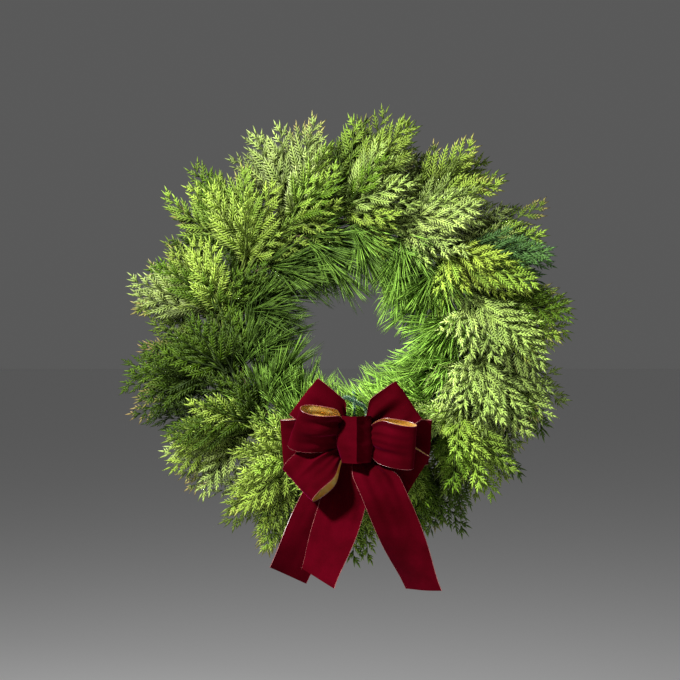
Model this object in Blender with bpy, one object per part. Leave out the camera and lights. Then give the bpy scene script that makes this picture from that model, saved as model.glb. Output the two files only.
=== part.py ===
"""Fresh evergreen wreath: bunches of cedar and pine held in the clamps of a welded wire
ring, with a ribbon bow tied on at the bottom.

It hangs in the XZ plane and faces -Y. The origin is the point where a hanger's hook
carries the outer rail. Places on the wreath are given round the ring: an angle clockwise
from the top as seen from the front, a distance along the tangent, a radius, and a depth
towards the viewer.
"""

import math

import bmesh
import bpy
from mathutils import Vector
from mathutils.geometry import interpolate_bezier

MM = 0.001
GAP = 0.3 * MM  # left between pieces that rest on each other

# The ring: two rails of wire with a bent-over clamp for each bunch.
STATIONS = 14
PITCH = math.tau / STATIONS
INNER_RAIL = 165 * MM
OUTER_RAIL = 200 * MM
RAIL_WIRE = 4.2 * MM
CLAMP_WIRE = 3.0 * MM
CLAMP_SINK = 0.6 * MM  # how deep the weld lets a clamp into a rail
CLAMP_OUT = 4.4 * MM  # from a rail's centre to the clamp's upright
CLAMP_HEIGHT = 20.0 * MM
CLAMP_MOUTH = 10.0 * MM  # left open between a clamp's two ends
CENTRE = Vector((0.0, 0.0, -(OUTER_RAIL - RAIL_WIRE / 2)))

# Stems lie side by side in the clamp, and their cut ends stick out behind it.
STEM_THICK = 12.0 * MM
STEM_DEPTH = (RAIL_WIRE + STEM_THICK) / 2 + GAP
STEM_END = 28.0 * MM
SERRATION = 0.74  # how far the outline drops back between two side sprays

# The bow's ribbon, and the waist where all of it is gathered flat and tied.
RIBBON = 63.5 * MM
RIBBON_THICK = 1.0 * MM
GATHERED = 14.0 * MM  # the ribbon's width at the waist
LAYER = 1.35 * MM  # from one ribbon to the next in the waist
LAYERS = 14
ROOT_GAP = 2.0 * MM  # between the loops of one layer, under the tie
TIE_WIRE = 5.0 * MM
WAIST = CENTRE + Vector((3 * MM, -95 * MM, -142 * MM))

GREEN_WIRE = ((0.03, 0.10, 0.05), 0.45, 0.6)
CEDAR = ((0.22, 0.36, 0.06), 0.55, 0.0)
PINE = ((0.13, 0.25, 0.08), 0.5, 0.0)
VELVET = ((0.13, 0.002, 0.012), 0.9, 0.0)
CHENILLE = ((0.03, 0.14, 0.06), 0.9, 0.0)


def clear_scene():
    for obj in list(bpy.data.objects):
        bpy.data.objects.remove(obj)


def material(name, look):
    colour, roughness, metallic = look
    made = bpy.data.materials.get(name)
    if made is None:
        made = bpy.data.materials.new(name)
        made.use_nodes = True
        shader = made.node_tree.nodes["Principled BSDF"]
        shader.inputs["Base Color"].default_value = (*colour, 1.0)
        shader.inputs["Roughness"].default_value = roughness
        shader.inputs["Metallic"].default_value = metallic
    return made


def add(name, mesh, look_name, look, smooth_angle=math.radians(40)):
    obj = bpy.data.objects.new(name, mesh)
    bpy.context.scene.collection.objects.link(obj)
    mesh.materials.append(material(look_name, look))
    mesh.shade_smooth()
    mesh.set_sharp_from_angle(angle=smooth_angle)
    return obj


def smoothstep(x):
    x = min(1.0, max(0.0, x))
    return x * x * (3 - 2 * x)


def outward(angle):
    return Vector((math.sin(angle), 0.0, math.cos(angle)))


def clockwise(angle):
    return Vector((math.cos(angle), 0.0, -math.sin(angle)))


TO_VIEWER = Vector((0.0, -1.0, 0.0))


def place(angle, along, radius, depth):
    """A point near the station at angle, in the row frame."""
    return CENTRE + outward(angle) * radius + clockwise(angle) * along + TO_VIEWER * depth


def swept_mesh(name, rings, round_again=False):
    """A closed mesh through rings of equally many points.

    It has a flat cap at each end, unless it goes round and meets its first ring again.
    Opposite sides are split along the same diagonal, so a twisted ribbon keeps its
    thickness."""
    sides = len(rings[0])
    points = [p for ring in rings for p in ring]
    faces = []
    for i in range(len(rings) if round_again else len(rings) - 1):
        a, b = i * sides, (i + 1) % len(rings) * sides
        for j in range(sides):
            k = (j + 1) % sides
            if 2 * j < sides:
                faces += [(a + j, a + k, b + k), (a + j, b + k, b + j)]
            else:
                faces += [(a + j, a + k, b + j), (a + k, b + k, b + j)]
    if not round_again:
        faces.append(tuple(reversed(range(sides))))
        faces.append(tuple(range((len(rings) - 1) * sides, len(rings) * sides)))
    mesh = bpy.data.meshes.new(name)
    mesh.from_pydata(points, [], faces)
    return facing_out(mesh)


def facing_out(mesh):
    """The same closed mesh with every face turned outwards."""
    work = bmesh.new()
    work.from_mesh(mesh)
    bmesh.ops.recalc_face_normals(work, faces=work.faces)
    work.to_mesh(mesh)
    work.free()
    return mesh


# ---------------------------------------------------------------- wire ring


def rail_mesh(radius):
    bpy.ops.mesh.primitive_torus_add(
        major_radius=radius,
        minor_radius=RAIL_WIRE / 2,
        major_segments=56,
        minor_segments=6,
        location=CENTRE,
        rotation=(math.pi / 2, 0, 0),
    )
    return bpy.context.object


def clamp_path(angle):
    """Points of one clamp wire: under both rails, up outside them and bent over on top."""
    low = -(RAIL_WIRE + CLAMP_WIRE) / 2 + CLAMP_SINK
    inner, outer = INNER_RAIL - CLAMP_OUT, OUTER_RAIL + CLAMP_OUT
    middle = (inner + outer) / 2
    bend = 4 * MM
    half = [
        (middle, low),
        (outer - bend, low),
        (outer - 0.3 * bend, low + 0.3 * bend),
        (outer, low + bend),
        (outer, CLAMP_HEIGHT - bend),
        (outer - 0.3 * bend, CLAMP_HEIGHT - 0.3 * bend),
        (outer - bend, CLAMP_HEIGHT),
        (middle + CLAMP_MOUTH / 2, CLAMP_HEIGHT - 1.5 * MM),
    ]
    mirrored = [(2 * middle - radius, depth) for radius, depth in half[:0:-1]]
    return [place(angle, 0, radius, depth) for radius, depth in mirrored + half]


def wire_tube(name, points, diameter, resolution=1):
    """A tube of wire along points, as a mesh object with filled ends."""
    curve = bpy.data.curves.new(name, "CURVE")
    curve.dimensions = "3D"
    curve.bevel_depth = diameter / 2
    curve.bevel_resolution = resolution
    curve.use_fill_caps = True
    spline = curve.splines.new("POLY")
    spline.points.add(len(points) - 1)
    for point, co in zip(spline.points, points):
        point.co = (*co, 1)
    obj = bpy.data.objects.new(name, curve)
    bpy.context.scene.collection.objects.link(obj)
    return obj


def joined(objects, name):
    """Several objects as one mesh object, still separate shells."""
    bpy.ops.object.select_all(action="DESELECT")
    for obj in objects:
        obj.select_set(True)
    bpy.context.view_layer.objects.active = objects[0]
    bpy.ops.object.convert(target="MESH")
    bpy.ops.object.join()
    obj = bpy.context.object
    obj.name = name
    return obj


def wire_ring():
    """The rails with all clamps welded across them, one body."""
    rails = joined([rail_mesh(OUTER_RAIL), rail_mesh(INNER_RAIL)], "wire_ring_frame")
    clamps = joined(
        [
            wire_tube(f"clamp_{k}", clamp_path((k + 0.5) * PITCH), CLAMP_WIRE)
            for k in range(STATIONS)
        ],
        "clamps",
    )
    weld = clamps.modifiers.new("caps", "WELD")
    weld.merge_threshold = 0.01 * MM
    union = rails.modifiers.new("weld", "BOOLEAN")
    union.operation = "UNION"
    union.object = clamps
    clamps.hide_render = True
    clamps.display_type = "WIRE"
    rails.data.materials.append(material("green_wire", GREEN_WIRE))
    return rails


# ---------------------------------------------------------------- greenery

# Each kind of bunch: where its stem lies in the clamp, how it leaves it, and its size.
KINDS = {
    "cedar_outer": {
        "radius": 196 * MM,
        "length": 182 * MM,
        "leaf_start": 24 * MM,
        "half_width": 42 * MM,
        "thick": 13 * MM,
        "lift": 2 * MM,
        "slope": 0.13,
        "pressed": 0.0,
        "roll": math.radians(-11),
        "teeth": 4,
        "fullest": 0.58,
        "look": ("cedar", CEDAR),
    },
    "cedar_front": {
        "radius": 182.5 * MM,
        "length": 205 * MM,
        "leaf_start": 40 * MM,
        "half_width": 42 * MM,
        "thick": 22 * MM,
        "lift": 12 * MM,
        "slope": 0.36,
        "pressed": 0.26,
        "roll": math.radians(0),
        "teeth": 4,
        "fullest": 0.5,
        "look": ("cedar", CEDAR),
    },
    "pine_inner": {
        "radius": 169 * MM,
        "length": 156 * MM,
        "leaf_start": 18 * MM,
        "half_width": 15 * MM,
        "thick": 10 * MM,
        "lift": 7 * MM,
        "slope": 0.3,
        "pressed": 0.0,
        "roll": math.radians(0),
        "teeth": 3,
        "fullest": 0.6,
        "look": ("pine", PINE),
    },
}
STEM_HALF_WIDTH = 6.6 * MM
TURN_END = 60 * MM  # a bunch has turned to its own heading this far past the clamp


def tip_lean(angle):
    """How far tips at this angle lean clockwise from straight outwards.

    They sweep round the right-hand side and hang almost straight out on the left."""
    return math.radians(13 + 17 * math.cos(angle - math.radians(75)))


def heading(kind, angle):
    """The heading of a bunch past its bend, measured outwards from the tangent."""
    if kind == "cedar_outer":
        return math.radians(68) - tip_lean(angle + 0.7 * PITCH)
    if kind == "cedar_front":
        return math.radians(26) - 0.5 * tip_lean(angle + PITCH)
    return math.radians(-72)


def spine(kind, angle, far):
    """(place along the tangent, radius, depth, heading) at a distance past the clamp."""
    size = KINDS[kind]
    end = heading(kind, angle)
    along, radius, step = 0.0, size["radius"], 2 * MM
    if far <= 0:
        return far, radius, STEM_DEPTH, 0.0
    count = max(1, round(far / step))
    step = far / count
    for i in range(count):
        here = end * smoothstep(((i + 0.5) * step - 4 * MM) / TURN_END)
        along += step * math.cos(here)
        radius += step * math.sin(here)
    under_bow = max(0.0, math.cos(angle + 2 * PITCH - math.pi))
    slope = size["slope"] * (1 - size["pressed"] * under_bow)
    depth = STEM_DEPTH + size["lift"] * smoothstep(far / TURN_END)
    depth += slope * max(0.0, far - 30 * MM)
    return along, radius, depth, end * smoothstep((far - 4 * MM) / TURN_END)


def leaf_width(size, share):
    """Half the width of a bunch at a share of the way along its greenery."""
    full = size["fullest"]
    if share < full:
        return STEM_HALF_WIDTH + (size["half_width"] - STEM_HALF_WIDTH) * math.sin(
            math.pi / 2 * share / full
        )
    return size["half_width"] * math.cos(math.pi / 2 * (share - full) / (1.02 - full))


def bunch_ring(kind, angle, far, half_width, half_thick):
    """Six points round a bunch's section at a distance past the clamp."""
    size = KINDS[kind]
    along, radius, depth, turned = spine(kind, angle, far)
    middle = place(angle, along, radius, depth)
    left = outward(angle) * math.cos(turned) - clockwise(angle) * math.sin(turned)
    roll = size["roll"] * smoothstep(far / TURN_END)
    across = left * math.cos(roll) - TO_VIEWER * math.sin(roll)
    over = TO_VIEWER * math.cos(roll) + left * math.sin(roll)
    section = [(1, 0), (0.5, 1), (-0.5, 1), (-1, 0), (-0.5, -1), (0.5, -1)]
    return [middle + across * (half_width * x) + over * (half_thick * y) for x, y in section]


def bunch(kind, k):
    """One bunch as a closed solid: its stems through the clamp and a toothed spray."""
    size = KINDS[kind]
    angle = (k + 0.5) * PITCH
    stem = (STEM_HALF_WIDTH, STEM_THICK / 2)
    rings = [bunch_ring(kind, angle, far, *stem) for far in (-STEM_END, 3 * MM)]
    rings.append(bunch_ring(kind, angle, size["leaf_start"], *stem))
    leafy = size["length"] - size["leaf_start"]
    steps = 2 * size["teeth"]
    for i in range(1, steps + 1):
        share = i / (steps + 0.35)
        width = leaf_width(size, share) * (1 if i % 2 else SERRATION)
        thick = size["thick"] / 2 * (1 - 0.55 * share)
        far = size["leaf_start"] + leafy * share
        rings.append(bunch_ring(kind, angle, far, width, thick))
    rings.append(bunch_ring(kind, angle, size["length"], 2 * MM, 1.2 * MM))
    name = f"{kind}_{k + 1:02d}"
    look_name, look = size["look"]
    return add(name, swept_mesh(name, rings), look_name, look)


def greenery():
    for k in range(STATIONS):
        for kind in KINDS:
            bunch(kind, k)


# ---------------------------------------------------------------- bow

# Each loop: the angle it leaves the waist at (from +X towards +Z), its length, how far it
# rises towards the viewer and how far it arches up on the way, half its opening, how far
# its counter-clockwise side leans to the viewer, where along it the gathers have spread
# out, and the waist layer of its back strand.
LOOPS = {
    "bow_loop_back_left": (184, 101, 0, 1, 6, 8, 0.56, 3),
    "bow_loop_back_right": (-4, 105, -1, -2, 6, -8, 0.55, 3),
    "bow_loop_low_left": (219, 104, 14, 1, 13, -17, 0.76, 5),
    "bow_loop_low_right": (-31, 102, 5, -1.4, 6, -12, 0.77, 5),
    "bow_loop_top_left": (140, 93, 11, 2, 8, -9, 0.7, 9),
    "bow_loop_top_right": (36, 92, 9, 0, 10, 8, 0.63, 9),
    "bow_loop_front_left": (181, 97, 31, 10, 15, 28, 0.5, 11),
    "bow_loop_front_right": (-12, 94, 28, 8, 14, -8, 0.54, 11),
}
LOOP_STEPS = 16

# Each tail: its waist layer, its shoulder and its cut end (right, up, towards the viewer),
# the slope of the cut, and how far the end is turned about the ribbon's length.
TAILS = {
    "bow_tail_left_outer": (0, (-38, -75, -12), (-93, -190, -12), -32, 38),
    "bow_tail_left_inner": (1, (-11, -64, -2), (-50, -190, 18), -32, 33),
    "bow_tail_right": (8, (31, -56, 32), (95, -211, 8), 0, 35),
}
TAIL_STEPS = 8


def layer_depth(layer):
    return (layer - (LAYERS - 1) / 2) * LAYER


def from_waist(right, up, towards):
    return WAIST + Vector((right, -towards, up))


def ribbon_ring(middle, along, across, half_width):
    """The four corners of a ribbon's section."""
    out = along.cross(across).normalized()
    corners = [(1, 1), (-1, 1), (-1, -1), (1, -1)]
    return [
        middle + across * (half_width * x) + out * (RIBBON_THICK / 2 * y)
        for x, y in corners
    ]


def ribbon(name, middles, acrosses, half_widths, round_again=False):
    """A ribbon through middle points, with the way it lies and half its width at each."""
    rings = []
    last = len(middles) - 1
    for i, middle in enumerate(middles):
        if round_again:
            along = middles[(i + 1) % (last + 1)] - middles[i - 1]
        else:
            along = middles[min(i + 1, last)] - middles[max(i - 1, 0)]
        rings.append(ribbon_ring(middle, along.normalized(), acrosses[i], half_widths[i]))
    return add(name, swept_mesh(name, rings, round_again), "velvet", VELVET)


def bow_loop(name, angle, length, rise, arch, opening, lean, spread, layer):
    """A teardrop loop: one strand leaves the waist, folds over and comes back behind."""
    angle, rise, lean = (math.radians(a) for a in (angle, rise, lean))
    flat = Vector((math.cos(angle), 0, math.sin(angle)))
    out = flat * math.cos(rise) + TO_VIEWER * math.sin(rise)
    over = TO_VIEWER * math.cos(rise) - flat * math.sin(rise)
    side = out.cross(over)
    across = side * math.cos(lean) + over * math.sin(lean)
    over = over * math.cos(lean) - side * math.sin(lean)
    upright = Vector((0, 0, 1)) if side.z > 0 else Vector((0, 0, -1))
    side_of_tie = ROOT_GAP / 2 if flat.x > 0 else -ROOT_GAP / 2
    middles, acrosses, half_widths = [], [], []
    for i in range(LOOP_STEPS + 1):
        turn = math.tau * i / LOOP_STEPS
        share = (1 - math.cos(turn)) / 2
        bulge = opening * MM * math.sin(turn) * math.sin(turn / 2) ** 2
        opened = smoothstep(share / spread)
        depth = layer_depth(layer + (1 + math.cos(turn / 2)) / 2)
        depth += arch * MM * math.sin(math.pi * share) ** 2
        depth += length * MM * share * math.sin(rise) * smoothstep(share / 0.3)
        middle = from_waist(side_of_tie, 0, depth)
        middle += flat * (length * MM * share * math.cos(rise))
        middles.append(middle + over * bulge)
        acrosses.append(upright.lerp(across, opened).normalized())
        half_widths.append((GATHERED + (RIBBON - GATHERED) * opened) / 2)
    ribbon(name, middles, acrosses, half_widths)


def center_loop():
    """The small loop in front. The tie runs through it, over its gathered back."""
    steps = 20
    length, opening, tie_room, aside = 38 * MM, 29 * MM, 3.6 * MM, 3 * MM
    middles, half_widths = [], []
    for i in range(steps):
        turn = math.tau * (i + 0.5) / steps
        share = (1 - math.cos(turn)) / 2
        half_round = math.sin(turn / 2)
        right = opening * math.sin(turn) * half_round**3 + tie_room * math.cos(turn / 2)
        right += aside * share
        middles.append(from_waist(right, 0, layer_depth(LAYERS - 1) + length * share))
        opened = smoothstep(share / 0.6)
        half_widths.append((GATHERED + (RIBBON - GATHERED) * opened) / 2)
    acrosses = [Vector((0, 0, 1))] * steps
    ribbon("bow_center_loop", middles, acrosses, half_widths, round_again=True)


def bow_tail(name, layer, shoulder, end, cut, turned):
    """A tail: down beside the tie, over its shoulder and down to its end."""
    beside = math.copysign((TIE_WIRE + GATHERED) / 2 + GAP, shoulder[0])
    top = from_waist(beside, GATHERED / 2, layer_depth(layer))
    waist = from_waist(beside, -GATHERED / 2 - 8 * MM, layer_depth(layer))
    shoulder, end = (from_waist(*(Vector(p) * MM)) for p in (shoulder, end))
    down = Vector((0, 0, -1))
    run = ((end - shoulder).normalized() + (shoulder - waist).normalized()).normalized()
    first = 0.38 * (shoulder - waist).length
    second = 0.35 * (end - shoulder).length
    upper = interpolate_bezier(
        waist, waist + down * first, shoulder - run * first, shoulder, TAIL_STEPS
    )
    lower = interpolate_bezier(
        shoulder, shoulder + run * second, end - (end - shoulder) * 0.3, end, TAIL_STEPS
    )
    middles = [top, *upper, *lower[1:]]
    acrosses, half_widths = [], []
    for middle in middles:
        share = smoothstep((waist.z - middle.z) / (waist.z - end.z))
        slope, turn = math.radians(cut) * share, math.radians(turned) * share**3
        level = Vector((math.cos(slope), 0, math.sin(slope)))
        acrosses.append(level * math.cos(turn) + TO_VIEWER * math.sin(turn))
        opened = smoothstep((waist.z - middle.z) / (40 * MM))
        half_widths.append((GATHERED + (RIBBON - GATHERED) * opened) / 2)
    ribbon(name, middles, acrosses, half_widths)


def tie():
    """A chenille stem round the waist. It goes back through the hole and hooks the rails."""
    waist_radius = CENTRE.z - WAIST.z
    waist_depth = -WAIST.y
    clear = GAP + TIE_WIRE / 2
    beside = GATHERED / 2 + 1.25 * clear
    before = layer_depth(LAYERS - 1) + RIBBON_THICK / 2 + 1.05 * clear
    under_rail = (RAIL_WIRE + TIE_WIRE) / 2 + GAP
    corners = [
        (beside - clear, -before),
        (beside, 0.75 * clear - before),
        (beside, before - 0.75 * clear),
        (beside - clear, before),
        (clear - beside, before),
        (-beside, before - 0.75 * clear),
        (-beside, 0.75 * clear - before),
    ]
    round_waist = [(waist_radius + down, waist_depth + out) for down, out in corners]
    over_pine = [(124 * MM, 74 * MM), (108 * MM, 60 * MM), (92 * MM, 52 * MM)]
    through_hole = [(81 * MM, 42 * MM), (78 * MM, 20 * MM), (80 * MM, 2 * MM)]
    round_rails = [
        (90 * MM, -7 * MM),
        (INNER_RAIL, -under_rail),
        (OUTER_RAIL, -under_rail),
        (OUTER_RAIL + 0.75 * under_rail, -0.75 * under_rail),
        (OUTER_RAIL + 1.02 * under_rail, -0.1 * under_rail),
    ]
    path = round_waist + over_pine + through_hole + round_rails
    aside = Vector((WAIST.x, 0, 0))
    points = [place(math.pi, 0, radius, depth) + aside for radius, depth in path]
    obj = wire_tube("bow_tie", points, TIE_WIRE)
    obj.data.materials.append(material("chenille", CHENILLE))


def bow():
    for name, shape in LOOPS.items():
        bow_loop(name, *shape)
    for name, shape in TAILS.items():
        bow_tail(name, *shape)
    center_loop()
    tie()


def main():
    clear_scene()
    wire_ring()
    greenery()
    bow()


main()
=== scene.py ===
"""Looks of the fresh evergreen wreath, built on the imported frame.

Places on the wreath are given as in the CAD: an angle clockwise from the top as seen from
the front, a distance along the tangent, a radius and a depth towards the viewer.
"""

import math

import bpy
import numpy as np
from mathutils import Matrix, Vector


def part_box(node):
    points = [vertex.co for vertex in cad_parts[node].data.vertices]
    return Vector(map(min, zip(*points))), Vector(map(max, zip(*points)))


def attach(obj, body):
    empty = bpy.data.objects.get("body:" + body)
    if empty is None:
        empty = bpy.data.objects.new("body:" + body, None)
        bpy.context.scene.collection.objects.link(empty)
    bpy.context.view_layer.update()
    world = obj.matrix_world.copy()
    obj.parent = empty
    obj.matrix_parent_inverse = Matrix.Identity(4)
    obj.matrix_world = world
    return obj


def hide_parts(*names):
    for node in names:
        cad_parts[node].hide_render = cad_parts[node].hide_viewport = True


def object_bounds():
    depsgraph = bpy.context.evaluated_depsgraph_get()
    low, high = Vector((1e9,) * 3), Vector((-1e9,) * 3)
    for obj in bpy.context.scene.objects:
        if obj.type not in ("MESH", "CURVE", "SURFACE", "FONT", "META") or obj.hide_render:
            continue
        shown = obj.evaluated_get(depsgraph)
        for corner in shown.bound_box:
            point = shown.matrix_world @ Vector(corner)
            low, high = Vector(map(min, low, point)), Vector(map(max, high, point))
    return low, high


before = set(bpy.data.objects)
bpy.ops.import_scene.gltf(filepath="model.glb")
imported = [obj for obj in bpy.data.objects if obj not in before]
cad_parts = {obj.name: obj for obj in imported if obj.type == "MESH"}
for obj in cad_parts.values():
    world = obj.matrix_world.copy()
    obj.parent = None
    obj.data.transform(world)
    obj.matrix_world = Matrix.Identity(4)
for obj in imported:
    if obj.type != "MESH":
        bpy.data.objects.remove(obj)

CAD_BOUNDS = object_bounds()
MM = 0.001
STATIONS = 14
PITCH = math.tau / STATIONS


def box(node):
    low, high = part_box(node)
    return np.array(low, float), np.array(high, float)


def middle_of(node):
    low, high = box(node)
    return (low + high) / 2


RING_LOW, RING_HIGH = box("wire_ring_frame")
RAIL_WIRE = 4.2 * MM
RAILS_APART = 35 * MM
CLAMP_WIRE = 3.0 * MM
CLAMP_OUT = 4.4 * MM  # from a rail's centre to the clamp's upright
OUTER_RAIL = (RING_HIGH[0] - RING_LOW[0]) / 2 - CLAMP_OUT - CLAMP_WIRE / 2
INNER_RAIL = OUTER_RAIL - RAILS_APART
CENTRE = np.array([0.0, 0.0, middle_of("wire_ring_frame")[2]])
# The waist lies this far behind the CAD's centre loop, which brings the bow 9 mm nearer to
# the greenery than the CAD has it.
WAIST_BEHIND = 17 * MM
WAIST = np.array(
    [
        middle_of("bow_tie")[0],
        box("bow_center_loop")[1][1] + WAIST_BEHIND,
        middle_of("bow_center_loop")[2],
    ]
)
TO_VIEWER = np.array([0.0, -1.0, 0.0])
UP = np.array([0.0, 0.0, 1.0])


def unit(v):
    return v / np.maximum(np.linalg.norm(v, axis=-1, keepdims=True), 1e-12)


def smoothstep(x):
    x = np.clip(x, 0.0, 1.0)
    return x * x * (3 - 2 * x)


def directions(line, closed=False):
    if closed:
        return unit(np.roll(line, -1, axis=0) - np.roll(line, 1, axis=0))
    return unit(np.gradient(line, axis=0))


def outward(angle):
    return np.array([math.sin(angle), 0.0, math.cos(angle)])


def clockwise(angle):
    return np.array([math.cos(angle), 0.0, -math.sin(angle)])


def place(angle, along, radius, depth):
    return CENTRE + outward(angle) * radius + clockwise(angle) * along + TO_VIEWER * depth


# ---------------------------------------------------------------- materials


def node_material(name):
    made = bpy.data.materials.new(name)
    made.use_nodes = True
    return made, made.node_tree


def new_node(tree, kind, **settings):
    made = tree.nodes.new(kind)
    for key, value in settings.items():
        if hasattr(made, key):
            setattr(made, key, value)
        else:
            made.inputs[key.replace("_", " ")].default_value = value
    return made


def texture(tree, kind, **settings):
    """A pattern laid out in the object's own coordinates."""
    where = new_node(tree, "ShaderNodeTexCoord")
    made = new_node(tree, kind, **settings)
    tree.links.new(where.outputs["Object"], made.inputs["Vector"])
    return made


def ramp(tree, source, stops):
    made = tree.nodes.new("ShaderNodeValToRGB")
    elements = made.color_ramp.elements
    while len(elements) < len(stops):
        elements.new(0.5)
    for element, (at, colour) in zip(elements, stops):
        element.position = at
        element.color = (*colour, 1.0)
    tree.links.new(source, made.inputs["Fac"])
    return made.outputs["Color"]


def mixed(tree, kind, share, a, b):
    made = tree.nodes.new("ShaderNodeMix")
    made.data_type = "RGBA"
    made.blend_type = kind
    for name, value in (("Factor", share), ("A", a), ("B", b)):
        socket = made.inputs[name]
        if isinstance(value, bpy.types.NodeSocket):
            tree.links.new(value, socket)
        elif isinstance(value, tuple):
            socket.default_value = (*value, 1.0)
        else:
            socket.default_value = value
    return made.outputs["Result"]


def surfaced(made, colour, grey, rough, strength, distance, values):
    """The material with its colour, and with a roughness between two values and a bump
    that both follow one grey source."""
    tree = made.node_tree
    shader = tree.nodes["Principled BSDF"]
    tree.links.new(colour, shader.inputs["Base Color"])
    span = new_node(tree, "ShaderNodeMapRange", To_Min=rough[0], To_Max=rough[1])
    tree.links.new(grey, span.inputs["Value"])
    tree.links.new(span.outputs["Result"], shader.inputs["Roughness"])
    bump = new_node(tree, "ShaderNodeBump", Strength=strength, Distance=distance)
    tree.links.new(grey, bump.inputs["Height"])
    tree.links.new(bump.outputs["Normal"], shader.inputs["Normal"])
    for socket, value in values.items():
        shader.inputs[socket].default_value = value
    return made


def tinted(name, pattern_scale, rough, specular, sheen, contrast):
    """A surface with its own tints, broken up by scales and by larger mottling."""
    made, tree = node_material(name)
    tint = new_node(tree, "ShaderNodeAttribute", attribute_name="tint")
    scales = texture(tree, "ShaderNodeTexVoronoi", Scale=pattern_scale)
    mottle = texture(tree, "ShaderNodeTexNoise", Scale=38.0, Detail=3.0)
    scale_shades = [(0.0, (1.12, 1.12, 1.08)), (0.8, (contrast,) * 3)]
    scaled = ramp(tree, scales.outputs["Distance"], scale_shades)
    patch_shades = [(0.3, (0.82, 0.86, 0.8)), (0.7, (1.14, 1.1, 1.05))]
    patched = ramp(tree, mottle.outputs["Fac"], patch_shades)
    colour = mixed(tree, "MULTIPLY", 1.0, tint.outputs["Color"], scaled)
    colour = mixed(tree, "MULTIPLY", 1.0, colour, patched)
    values = {"Specular IOR Level": specular, "Sheen Weight": sheen}
    return surfaced(made, colour, scales.outputs["Distance"], rough, 0.35, 0.0006, values)


def velvet_material():
    made, tree = node_material("velvet_pile")
    nap = texture(tree, "ShaderNodeTexNoise", Scale=1900.0, Detail=2.0)
    brushed = texture(tree, "ShaderNodeTexNoise", Scale=24.0, Detail=3.0)
    burgundies = [(0.3, (0.029, 0.0001, 0.0014)), (0.7, (0.055, 0.0002, 0.0033))]
    patchy = ramp(tree, brushed.outputs["Fac"], burgundies)
    fine = ramp(tree, nap.outputs["Fac"], [(0.35, (0.72, 0.72, 0.72)), (0.65, (1.2, 1.2, 1.2))])
    colour = mixed(tree, "MULTIPLY", 1.0, patchy, fine)
    values = {
        "Specular IOR Level": 0.01,
        "Sheen Weight": 0.3,
        "Sheen Roughness": 0.3,
        "Sheen Tint": (0.75, 0.01, 0.16, 1.0),
    }
    return surfaced(made, colour, nap.outputs["Fac"], (0.75, 0.95), 0.25, 0.0004, values)


def lining_material():
    made, tree = node_material("gold_lining")
    weave = texture(tree, "ShaderNodeTexWave", Scale=520.0, Distortion=1.5)
    crinkle = texture(tree, "ShaderNodeTexNoise", Scale=95.0, Detail=4.0)
    golds = [(0.3, (0.95, 0.47, 0.03)), (0.7, (1.0, 0.8, 0.28))]
    colour = ramp(tree, crinkle.outputs["Fac"], golds)
    both = mixed(tree, "MIX", 0.25, crinkle.outputs["Color"], weave.outputs["Color"])
    values = {"Metallic": 0.45, "Specular IOR Level": 1.0}
    return surfaced(made, colour, both, (0.2, 0.42), 0.8, 0.004, values)


def mottled(name, scale, detail, stops, rough, bump, values):
    """A surface whose colour, roughness and bump follow one noise."""
    made, tree = node_material(name)
    grey = texture(tree, "ShaderNodeTexNoise", Scale=scale, Detail=detail).outputs["Fac"]
    return surfaced(made, ramp(tree, grey, stops), grey, rough, bump, 0.0004, values)


THREADS = [(0.4, (0.12, 0.008, 0.014)), (0.6, (0.4, 0.13, 0.12))]
WORN_GREEN = [(0.3, (0.012, 0.06, 0.025)), (0.62, (0.03, 0.115, 0.05)), (0.74, (0.16, 0.13, 0.1))]
# Pattern scale, roughness from and to, specular, sheen, and how dark the pattern gets.
CEDAR = tinted("cedar_scales", 620.0, (0.42, 0.62), 0.15, 0.0, 0.7)
PINE = tinted("pine_needle", 420.0, (0.36, 0.58), 0.14, 0.0, 0.8)
BARK = tinted("bark", 260.0, (0.7, 0.95), 0.25, 0.0, 0.45)
CHENILLE = tinted("chenille_fibre", 900.0, (0.7, 0.95), 0.2, 0.5, 0.8)
VELVET = velvet_material()
LINING = lining_material()
EDGE = mottled("wired_edge", 900.0, 1.0, THREADS, (0.25, 0.45), 0.4, {"Specular IOR Level": 0.8})
ENAMEL = mottled("green_enamel", 140.0, 5.0, WORN_GREEN, (0.28, 0.6), 0.25, {"Coat Weight": 0.3})


# ---------------------------------------------------------------- meshes


# How far behind the ring's middle plane the greenery can bend before the door stops it.
BACK_ROOM = 15 * MM
# The bow presses greenery that stands out further than this, within these half sizes of it.
PRESSED_FROM = 46 * MM
PRESSED_ROOM = 20 * MM
PRESSED_WIDE, PRESSED_TALL, PRESSED_DOWN = 105 * MM, 165 * MM, 55 * MM
CELL_EDGE = 0.12  # left free on each side of a shape's cell of the texture map
LEAF, WOOD = 0, 1  # places in a bunch's list of materials
CUT_WOOD = (0.55, 0.4, 0.22)


def held_back(points):
    """Greenery bends away from the door behind it and from the bow in front of it."""
    behind = np.maximum(points[:, 1], 0.0)
    points[:, 1] += BACK_ROOM * (1 - np.exp(-behind / BACK_ROOM)) - behind
    beside = (points[:, 0] - WAIST[0]) / PRESSED_WIDE
    below = (points[:, 2] - WAIST[2] + PRESSED_DOWN) / PRESSED_TALL
    share = smoothstep((1.15 - np.hypot(beside, below)) / 0.3)
    out = np.maximum(-points[:, 1] - PRESSED_FROM, 0.0)
    points[:, 1] += share * (out - PRESSED_ROOM * (1 - np.exp(-out / PRESSED_ROOM)))


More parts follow.
